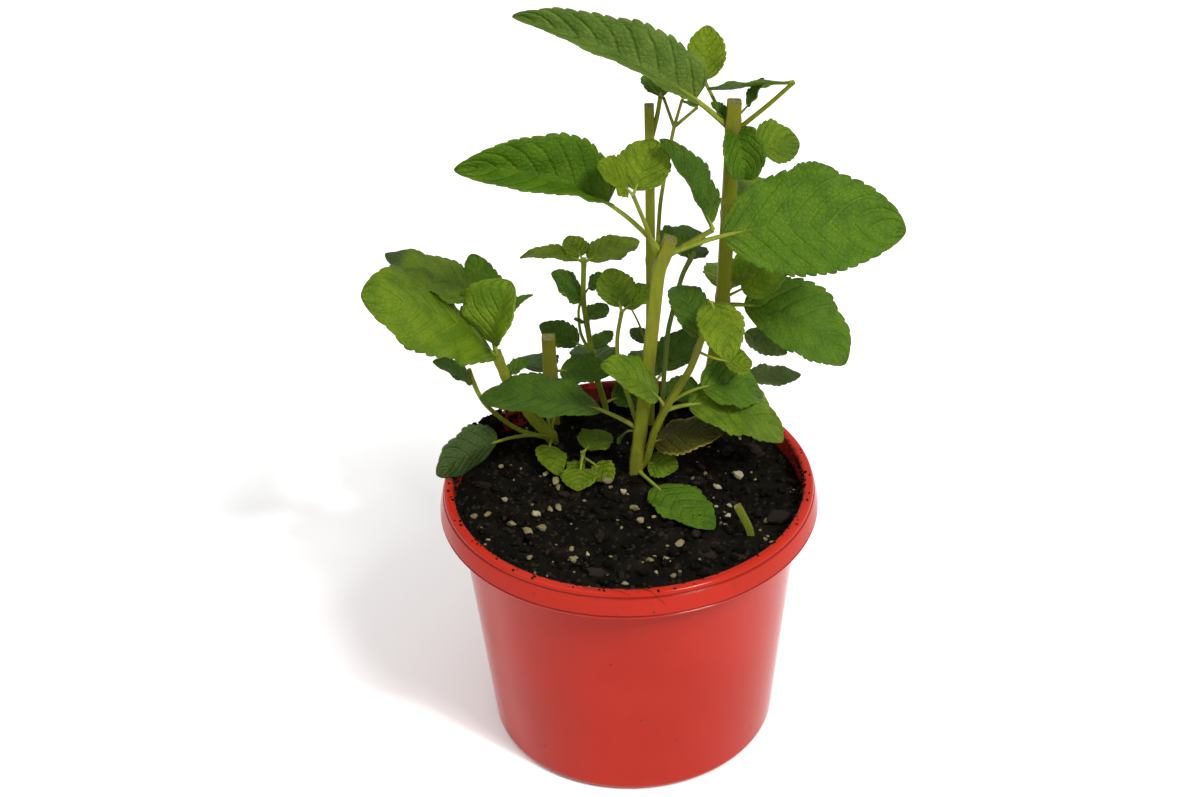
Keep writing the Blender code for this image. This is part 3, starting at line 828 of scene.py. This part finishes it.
stems = {}
stems["stem_front"] = [
    Shoot(5.0, [(3, 15, foot), (3, 15, 101), (6, 15, 126), (9, 16, 152), (12.5, 18, 184), (17, 18, 197)], [
        Leaf(0.93, 190, 60, 55, 31, 60, 35, -25, 50, bend=10, twist=-40, widest=0.35),
        Leaf(0.93, 0, 25, 40, 22, 66, 39, 50, widest=0.46),
        dark(0.25, 180, 40, 50, 17, 46, 27, 0, 5, widest=0.5),
        old(0.16, -15, 45, 45, 8, 28, 17, 20, -10),
        fresh(0.12, -25, 10, 10, 5, 12, 12, 30),
        Leaf(0.09, -60, 0, 0, 14, 34, 20, 0, bend=10),
        Leaf(0.24, 145, 5, 95, 6, 9, 5, 0, 0),
    ]),
    # side shoots from the upper node
    Shoot(1.6, [(12, 18, 190), (8, 13, 206), (4, 10, 219)], [
        young(1, 205, 55, 15, 3, 17, 17, -30, 15),
        young(1, 65, 35, 5, 2, 21, 20, 10, 15),
    ]),
    Shoot(2.0, [(13, 18, 188), (24, 18, 195), (32, 18, 200)], [
        dark(1, 175, 70, 15, 2, 38, 18, -20, 35),
    ]),
    # the slender shoot that forks in three
    Shoot(1.6, [(12, 20, 188), (13.7, 34, 202), (16.8, 44, 215), (19.4, 49, 225)], []),
    Shoot(1.2, [(19.4, 49, 225), (15.9, 50, 236)], [Leaf(1, 120, 25, 20, 1, 13, 10, 0, 20)]),
    Shoot(1.2, [(19.4, 49, 225), (22.3, 50, 235)], [Leaf(1, 60, 20, 20, 1, 10, 7, 0, 20)]),
    Shoot(1.2, [(19.4, 49, 225), (27.7, 50, 232)], [Leaf(1, 110, 0, 20, 1, 9, 6, 0, 20)]),
    # the leafy shoot that leans out to the right
    Shoot(2.6, [
        (4, 15, 100), (7, 13.5, 104), (10, 10, 120), (14.5, 8, 132), (23.5, 8, 148), (27.5, 9, 160), (31, 10, 175),
    ], [
        dark(0.8, 110, 60, 80, 1, 28, 15, 0, 15),
        young(1, -75, -5, 50, 1, 24, 17, 0),
        young(0.75, 15, -40, -35, 12, 11, 13, 20),
        Leaf(0.44, 15, 35, 80, 14, 26, 22, 20, 5),
        fresh(0.42, 190, 65, 45, 6, 27, 19, -20, widest=0.4),
        fresh(0.4, 5, 20, 80, 9, 42, 25, 20, 5, bend=-5),
    ]),
    # the stalk with a pair of leaves, from the lower node
    Shoot(1.8, [(5, 16, 114), (1, 20, 128), (-3, 25, 139), (-3, 28, 150), (-1, 29, 160)], [
        fresh(1, 105, 40, 20, 2, 17, 15, 0, 15),
        fresh(1, 35, 30, 25, 2, 15, 13, 0, 15),
    ]),
]
stems["stem_middle"] = [
    Shoot(3.6, [(9, 47, foot), (9, 47, 114), (10, 46, 155), (10.5, 45, 222), (10.5, 45, 236)], [
        dark(0.17, 90, 10, 30, 6, 26, 18, 0),
        dark(0.16, 50, 30, 10, 10, 22, 18, 0, 15),
        dark(0.3, 135, 35, 30, 2, 9, 8, 0),
        Leaf(0.18, 165, 95, 45, 35, 12, 10, 0),
        dark(0.56, 45, 20, 40, 7, 22, 16, 10, 5),
    ]),
    Shoot(1.8, [(10.5, 45, 220), (13.5, 45, 232), (14.5, 45, 239)], [Leaf(1, 80, 40, 20, 1, 13, 9, 0)]),
]
stems["stem_back_right"] = [
    Shoot(5.4, [(29, 46, foot), (29, 46, 101), (33, 47, 122), (36.5, 45, 150), (38.5, 42, 192), (40.5, 40, 239)], [
        # the top leaf, its colour with a painted sheen
        sheen(0.92, 190, 50, 40, 19, 72, 30, -35, 50, bend=-25, widest=0.26),
        Leaf(0.95, 10, 40, -30, 7, 12, 9, 0, 20),
        Leaf(0.94, 155, 40, 0, 3, 8, 7, 0, 20),
        Leaf(0.93, -70, -20, 70, 1, 19, 23, 5, 50, twist=15, widest=0.51),
        fresh(0.88, 25, -10, 0, 10, 18, 18, 35),
        Leaf(0.72, 35, 0, 5, 30, 20, 13, 20),
        fresh(0.69, 60, 0, 25, 11, 40, 24, 0),
        Leaf(0.42, 0, 5, 70, 8, 50, 30, 38, widest=0.45),
        bright(0.44, 0, 30, 5, 8, 20, 16, 30),
        bright(0.44, 35, 40, 5, 7, 20, 13, 10, 20),
        bright(0.44, 80, 5, 30, 7, 32, 20, 0),
        dull(0.36, -10, -15, 15, 10, 18, 10, 33, 0),
        dull(0.2, 15, -10, 0, 15, 22, 12, 10, 0),
        dark(0.15, 180, 15, 25, 3, 15, 13, -20),
    ]),
    # the leaf seen along its edge, on a stalk out to the right
    Shoot(1.6, [(40.5, 40, 227), (53, 38, 239), (61, 36, 248)], [
        Leaf(1, 155, -10, 10, 1, 33, 12, 33, 0, widest=0.5),
    ]),
    # the leaf that stands up behind the largest one
    Shoot(1.4, [(39, 42, 226), (34, 51, 234), (31, 58, 238)], [
        young(1, 85, 45, 5, 1, 21, 15, 0, 20),
    ]),
]
stems["stem_left"] = [
    Shoot(4.4, [(-28, 36, foot), (-28, 36, 100), (-35, 35, 109), (-40, 34, 119), (-45, 32, 131), (-48, 30, 143)], [
        fresh(0.94, 195, 60, 45, 2, 62, 43, 0, -5, bend=5, twist=-35, widest=0.5),
        bright(1, 40, 100, 55, 4, 26, 29, -5, 30, twist=20, widest=0.52),
        Leaf(0.99, 100, 40, 15, 9, 34, 17, 0, 20, bend=10),
        Leaf(1, 95, 45, 45, 4, 27, 6, 0, bend=-70),
        Leaf(0.8, 25, 30, 15, 1, 10, 8, 0),
        grey(0.18, 225, 35, 45, 31, 31, 20, -95, -15, twist=15),
        young(0.18, -105, 15, 30, 8, 18, 12, -15, bend=40),
        Leaf(0.2, 150, 85, 40, 13, 9, 7, 0),
        Leaf(0.2, 35, 85, 40, 13, 9, 7, 0),
    ]),
    # the thin side shoot out over the rim
    Shoot(1.8, [(-30, 36, 100), (-41, 38, 102), (-48, 38, 108), (-54, 38, 115), (-57, 38, 122), (-59, 38, 131)], [
        Leaf(0.85, 185, 50, 25, 1, 18, 13, 0),
        Leaf(0.65, 35, 35, 10, 1, 8, 5, 0, 0),
    ]),
    # the short shoot that holds the leaf above the widest one
    Shoot(1.6, [(-48, 31, 141), (-50, 38, 150), (-52, 42, 158.5)], [
        greyTip(1, 165, 30, 15, 2, 39, 28, 5, 0),
    ]),
]
stems["shoot_back_left"] = [
    Shoot(2.4, [
        (-8, 56, foot), (-8, 56, 100), (-11, 54, 114), (-13.5, 52, 134), (-15.5, 50, 153), (-14.5, 48, 172),
    ], [
        young(0.98, 165, 25, 55, 2, 24, 10, 0),
        young(0.98, 30, 10, 10, 2, 22, 17, 0),
        young(0.98, 115, 25, 10, 3, 11, 10, 0),
        Leaf(0.77, 195, 50, 0, 1, 17, 13, -30),
        Leaf(0.78, -10, 70, 35, 5, 9, 7, 30, 0),
        Leaf(0.64, 50, 15, 5, 2, 10, 10, 0),
        Leaf(0.64, 205, 35, 10, 1, 5, 4, 0, 0),
        Leaf(0.48, 45, 20, 10, 1, 11, 8, 0),
        dark(0.47, 155, 20, 5, 6, 17, 12, -20),
        dark(0.32, 95, 5, 25, 6, 24, 18, 0),
        dark(0.15, 10, 25, 35, 3, 20, 14, 25),
    ]),
    Shoot(1.2, [(-12.5, 53, 126), (-17, 51, 137), (-17.5, 50, 150), (-15.5, 50, 154)], []),
]
stems["cut_stump"] = [
    Shoot(5.4, [(-28.5, 47.5, foot), (-28.5, 47.5, 101), (-29, 47.5, 138.5)], [
        dark(0.6, 110, 5, 30, 6, 22, 16, 0),
        dark(0.68, 345, 15, 20, 4, 20, 15, 15),
    ]),
]
stems["sprout_front_left"] = [
    Shoot(2.0, [(-17, 22, foot), (-17, 22, 103)], [
        young(0.75, 240, 0, 10, 2, 8, 7, 0),
        young(0.97, 50, 15, 20, 2, 13, 15, 0),
        young(0.9, -95, 0, 5, 9, 13, 14, 0),
        young(0.8, -55, 15, 35, 8, 11, 10, 20),
    ]),
]
stems["shoot_behind"] = [
    Shoot(2.0, [(13, 39, foot), (13, 39, 102), (14.5, 39, 127), (16, 39, 145), (21.5, 38, 170), (26, 37, 180)], [
        dark(0.95, 70, 0, 10, 2, 12, 10, 0),
        dark(0.97, 130, 30, 10, 1, 12, 10, 0),
    ]),
]
stems["stem_stub"] = [Shoot(2.8, [(44, -25, foot), (44, -25, 99), (39, -24.5, 110)], [])]
# the first shoot of these ends in a cut
cutStems = {"stem_front", "stem_middle", "stem_back_right", "cut_stump", "stem_stub"}
slots = dict.fromkeys(stems, "mint_green")
slots.update(dict.fromkeys(["stem_left", "shoot_back_left", "sprout_front_left"], "young_green"))
slots.update(dict.fromkeys(["cut_stump", "stem_stub"], "olive_stem"))

stem = {
    "spacing": 2.2,
    "soften": 3,
    "taper": 0.18,
    "knot": 0.14,
    "knotReach": 1.6,
    "knotTone": (0.11, 0.10, 0.02),
    "cutTone": (0.13, 0.095, 0.015),
}
blade = {
    "thickness": 0.34,
    "fullness": 0.65,
    "wave": 0.07,
    "waves": 2.5,
    "toothDepth": 0.75,
    "quilt": 0.034,
    "stepsPerTooth": 6,
    "toothShape": (0, 0.4, 0.68, 0.87, 0.98, 1.0),
    "petioleBase": 0.45,
    "petioleGrowth": 0.012,
    "ribSteps": 80,
}


def heading(azimuth, pitch):
    a, p = radians(azimuth), radians(pitch)
    return Vector((cos(p) * cos(a), cos(p) * sin(a), sin(p)))


def ribLine(leaf, start):
    # points along the petiole and the midrib
    total = leaf.petiole + leaf.length
    count = blade["ribSteps"]
    points = [Vector(start)]
    for i in range(count):
        share = (i + 0.5) / count
        step = heading(leaf.azimuth + leaf.bend * share, leaf.pitch - leaf.droop * share)
        points.append(points[-1] + step * total / count)
    return points


def along(points, share):
    at = min(max(share, 0), 1) * (len(points) - 1)
    i = min(int(at), len(points) - 2)
    return points[i].lerp(points[i + 1], at - i)


def bladeTurn(leaf, share, past):
    # which way the blade faces at this share of the arc, and which way is across it
    azimuth = leaf.azimuth + leaf.bend * share
    pitch = leaf.pitch - leaf.droop * share
    upward = heading(azimuth, pitch + 90)
    sideways = heading(azimuth, pitch).cross(upward)
    roll = radians(leaf.roll + leaf.twist * past)
    face = upward * cos(roll) + sideways * sin(roll)
    return face, sideways * cos(roll) - upward * sin(roll)


def petioleSize(leaf):
    return blade["petioleBase"] + blade["petioleGrowth"] * leaf.length


flatBlades = {}


def flatBlade(teeth, columns):
    # x from -1 to 1 across, y from 0 at the stalk to 1 at the tip; modelled once for each size
    key = teeth, columns
    if key not in flatBlades:
        obj = grid(columns, teeth * blade["stepsPerTooth"])
        for vertex in obj.data.vertices:
            vertex.co.y = (vertex.co.y + 1) / 2
        flatBlades[key] = obj
    return flatBlades[key]


def makeBlade(name, leaf, start):
    teeth = round(5 + leaf.length / 6)
    columns = 20 if leaf.length > 36 else 16 if leaf.length > 18 else 12
    obj = copyOf(name, flatBlade(teeth, columns))
    total = leaf.petiole + leaf.length
    rib = ribLine(leaf, start)
    power = log(0.5) / log(leaf.widest)
    cup = radians(leaf.cup)
    steps = blade["stepsPerTooth"]
    branches = 3.5 + leaf.length / 14
    lean = 0.9 * leaf.width / 2 / leaf.length
    tone = tones[leaf.tone]
    depth = blade["toothDepth"] * (0.6 + leaf.length / 80) / (leaf.width / 2)
    seed = leaf.azimuth * 0.37 + leaf.length
    frames, phases, flat, colours = {}, [], [], []
    for vertex in obj.data.vertices:
        v, u = vertex.co.x, vertex.co.y
        step = round(u * teeth * steps)
        edge = abs(v) ** 5
        tooth = depth * edge * (blade["toothShape"][step % steps] - 0.5) * ease(u, 0.04, 0.16)
        u = min(u + edge * 0.5 / (teeth * steps) * (step % steps == steps - 1), 1)
        key = step, edge > 0.5
        if key not in frames or edge > 0.5:
            share = (leaf.petiole + u * leaf.length) / total
            half = leaf.width / 2 * max(sin(pi * u**power), 0) ** blade["fullness"]
            frames[key] = along(rib, share), *bladeTurn(leaf, share, u), half
        point, face, across, half = frames[key]
        half *= 1 + tooth
        away = abs(v)
        phase = branches * (u * 1.04 - lean * away * (0.78 + 0.34 * away))
        phase += 0.16 * noise.noise(Vector((u * 5, v * 1.5, seed)))
        between = abs(sin(pi * phase)) ** 0.8
        quilt = blade["quilt"] * min(leaf.length / 45, 1) * leaf.width / 2 * (between - 0.4)
        quilt *= ease(away * half, 0.3, 2.2) * (1 - 0.75 * away**6)
        quilt *= ease(u, 0.0, 0.08) * ease(1 - u, 0.0, 0.08)
        wave = blade["wave"] * v * v * sin(2 * pi * blade["waves"] * u + leaf.azimuth)
        wave += 0.035 * away**3 * sin(2 * pi * (teeth / 3.1) * u + seed + v)
        fold = sqrt(v * v + 0.012) - sqrt(0.012)
        lift = half * (fold * sin(cup) + wave) + quilt
        vertex.co = (point + across * (v * half * cos(cup)) + face * lift) * mm
        phases.append((phase, v))
        flat.append((v * half + seed * 3, u * leaf.length + seed))
        if leaf.tone == "old":
            shade = blend(tone, (0.36, 0.30, 0.05), ease(away, 0.86, 1.0))
        else:
            shade = blend(tone, (0.16, 0.22, 0.02), 0.35 * (1 - ease(u, 0.0, 0.22)))
        if leaf.tone == "greyTip":
            shade = blend(shade, tones["grey"], ease(u, 0.75, 0.9))
        colours.append(shade)
    paint(obj, "leafTone", colours)
    for layerName, values in (("veinLines", phases), ("leafPlane", flat)):
        layer = obj.data.uv_layers.new(name=layerName)
        layer.data.foreach_set("uv", [c for loop in obj.data.loops for c in values[loop.vertex_index]])
    mesh = bmesh.new()
    mesh.from_mesh(obj.data)
    bmesh.ops.remove_doubles(mesh, verts=mesh.verts, dist=1e-7)
    mesh.to_mesh(obj.data)
    mesh.free()
    return obj


def leafStalk(leaf, start, tone):
    # the petiole, which runs on under the blade as the raised midrib
    total = leaf.petiole + leaf.length
    rib = ribLine(leaf, start)
    reach = leaf.petiole + 0.9 * leaf.length
    count = max(5, round(reach / 2.5))
    points, radii = [], []
    for i in range(count + 1):
        distance = reach * i / count
        share = distance / total
        past = max(distance - leaf.petiole, 0) / leaf.length
        face, _ = bladeTurn(leaf, share, past)
        onStalk = 1 - 0.45 * min(distance / (leaf.petiole + 0.12 * leaf.length), 1)
        radius = petioleSize(leaf) * onStalk * (1 - 0.86 * ease(past, 0.0, 0.95))
        points.append(along(rib, share) - face * (0.8 * radius + 0.1) * ease(past, 0.0, 0.12))
        radii.append(radius)
    return stalk(points, radii, 8, [blend(tone, (0.20, 0.26, 0.03), 0.5)] * (count + 1))


def makeStem(name, shoots):
    stalks, blades = [], []
    tone = stalkTones[name]
    for i, shoot in enumerate(shoots):
        cut = i == 0 and name in cutStems
        points = evenPath(shoot.path, stem["spacing"], stem["soften"])
        count = len(points) - 1
        radii, colours = [], []
        for j in range(count + 1):
            near = min([abs(j / count - leaf.at) * lengthOf(points) for leaf in shoot.leaves], default=99)
            knot = exp(-((near / stem["knotReach"]) ** 2))
            taper = 1 if cut else 1 - stem["taper"] * j / count
            radii.append(shoot.thickness / 2 * taper * (1 + stem["knot"] * knot))
            shade = blend(tone, stem["knotTone"], 0.45 * knot)
            if cut:
                shade = blend(shade, stem["cutTone"], 0.4 * ease(j / count, 0.93, 1.0))
            colours.append(shade)
        sides = 16 if shoot.thickness > 2.2 else 12
        stalks.append(stalk(points, radii, sides, colours, 1.0, cut))
        for j, leaf in enumerate(shoot.leaves):
            start = shootPoint(shoot.path, leaf.at)
            stalks.append(leafStalk(leaf, start, tone))
            blades.append(makeBlade(f"{name}_{i}_{j}", leaf, start))
    piece(joined(f"{name}_stalks", stalks), slots[name], name, sharpest=42)
    if blades:
        obj = joined(f"{name}_leaves", blades)
        dress(obj, [leafTop, leafUnder])
        sheet = {"offset": -1, "use_even_offset": True, "material_offset": 1, "material_offset_rim": 0}
        modify(obj, "SOLIDIFY", thickness=blade["thickness"] * mm, **sheet)
        piece(obj, slots[name], name)


for stemName, shoots in stems.items():
    makeStem(stemName, shoots)
for obj in flatBlades.values():
    bpy.data.objects.remove(obj)
print("stems and leaves made")


# dry fibres on the lip, and hairs on the stems

fibres = {
    "thickness": 0.16,
    # each one: (turn round the rim, distance from the middle, height) along its way
    "paths": [
        [(-101, 62.5, 100.2), (-98, 65.2, 105.7), (-93, 67.0, 105.7), (-90, 68.6, 104.6)],
        [(-95, 63.0, 101.0), (-92, 66.0, 105.7), (-84, 66.2, 105.7), (-80, 64.0, 103.4)],
        [(-88, 65.0, 105.7), (-84, 67.6, 105.6), (-82, 69.0, 103.2), (-80, 69.6, 100.5)],
        [(-107, 64.3, 104.0), (-104, 66.4, 105.8), (-99, 66.9, 105.8)],
        [(-72, 63.2, 101.5), (-69, 65.6, 105.7), (-65, 66.8, 105.7)],
    ],
}


def makeFibres():
    made = []
    for path in fibres["paths"]:
        points = evenPath([onRing(away, radians(turn), z) for turn, away, z in path], 0.8, 2)
        radii = [fibres["thickness"] / 2 * (1.2 - 0.7 * i / len(points)) for i in range(len(points))]
        made.append(stalk(points, radii, 6, [(0.03, 0.018, 0.01)] * len(points)))
    obj = joined("dry_fibres", made)
    paint(obj, "grainTone", (0.022, 0.014, 0.009))
    dress(obj, [woody])
    piece(obj, "potting_mix")


hairs = {
    "lowest": 101,
    "spacing": 0.85,
    "length": (0.35, 0.8),
    "thickness": 0.05,
}


def makeHairs():
    deselect()
    bpy.ops.mesh.primitive_cone_add(
        vertices=3, radius1=1, radius2=0, depth=1, end_fill_type="NOTHING", location=(0, 0, 0.5)
    )
    model = freeze(bpy.context.object)
    made = []
    for shoots in stems.values():
        ways = []
        for shoot in shoots:
            ways.append((evenPath(shoot.path, stem["spacing"], stem["soften"]), shoot.thickness / 2 * 0.97))
            for leaf in shoot.leaves:
                if leaf.petiole > 3:
                    share = leaf.petiole / (leaf.petiole + leaf.length)
                    rib = ribLine(leaf, shootPoint(shoot.path, leaf.at))
                    ways.append(([along(rib, share * i / 6) for i in range(7)], petioleSize(leaf) * 0.7))
        for points, radius in ways:
            for _ in range(round(lengthOf(points) / hairs["spacing"])):
                share = random.uniform(0.02, 0.97)
                centre = along(points, share)
                if centre.z < hairs["lowest"]:
                    continue
                ahead = (along(points, share + 0.02) - along(points, share - 0.02)).normalized()
                side = ahead.orthogonal().normalized()
                side.rotate(Matrix.Rotation(random.uniform(0, 6.283), 3, ahead))
                out = (side + ahead * random.uniform(-0.5, 0.15)).normalized()
                copy = copyOf("hair", model)
                wide = hairs["thickness"] / 2 * mm
                shape = Matrix.Diagonal((wide, wide, random.uniform(*hairs["length"]) * mm, 1))
                turn = out.to_track_quat("Z", "Y").to_matrix().to_4x4()
                copy.data.transform(Matrix.Translation((centre + side * radius) * mm) @ turn @ shape)
                made.append(copy)
    bpy.data.objects.remove(model)
    obj = joined("stem_hairs", made)
    dress(obj, [hair])
    piece(obj, "mint_green")


makeFibres()
makeHairs()
print("fibres and hairs made")


# floor, light and camera

studio = {
    "floor": 8.0,
    "sky": 0.78,
    "middle": (0, 0, 0.14),
    "cameraAt": (0, -0.7219, 0.6201),
    "cameraTurn": (56.446, 1.485, -0.228),
    "sensor": 36,
    "lens": 72,
}
# each light: azimuth, height over the horizon, distance, size, power
lights = {
    "key": (-46, 50, 4.0, 1.2, 126),
    "glint": (-46, 44, 4.0, 0.22, 40),
    "fill": (205, 62, 3.5, 2.5, 28),
}


def makeFloor():
    look = Finish("pale_floor")
    point = look.place()
    cloud = look.clouds(point, 220, 4)
    look.shine(Base_Color=look.mix(cloud, (0.89, 0.89, 0.89), (0.92, 0.92, 0.915)), Roughness=0.75 + 0.1 * cloud)
    look.relief(look.clouds(point, 0.8, 3), 0.03)
    deselect()
    bpy.ops.mesh.primitive_plane_add(size=studio["floor"])
    floor = bpy.context.object
    floor.name = "floor"
    dress(floor, [look.material])


def areaLight(name, azimuth, height, away, size, power):
    deselect()
    target = Vector(studio["middle"])
    spot = target + heading(azimuth, height) * away
    bpy.ops.object.light_add(type="AREA", location=spot)
    lamp = bpy.context.object
    lamp.name = name
    lamp.data.shape = "DISK"
    lamp.data.size = size
    lamp.data.energy = power
    lamp.rotation_euler = (target - spot).to_track_quat("-Z", "Y").to_euler()


makeFloor()
for name, values in lights.items():
    areaLight(name, *values)
world = bpy.data.worlds.new("studio")
world.use_nodes = True
sky = world.node_tree.nodes["Background"]
sky.inputs["Color"].default_value = (1.0, 1.0, 1.0, 1)
sky.inputs["Strength"].default_value = studio["sky"]
bpy.context.scene.world = world
bpy.context.scene.view_settings.view_transform = "Standard"

deselect()
bpy.ops.object.camera_add(location=studio["cameraAt"], rotation=[radians(turn) for turn in studio["cameraTurn"]])
camera = bpy.context.object
camera.data.sensor_width = studio["sensor"]
camera.data.lens = studio["lens"]
camera.data.clip_start = 0.05
bpy.context.scene.camera = camera
print("studio made")
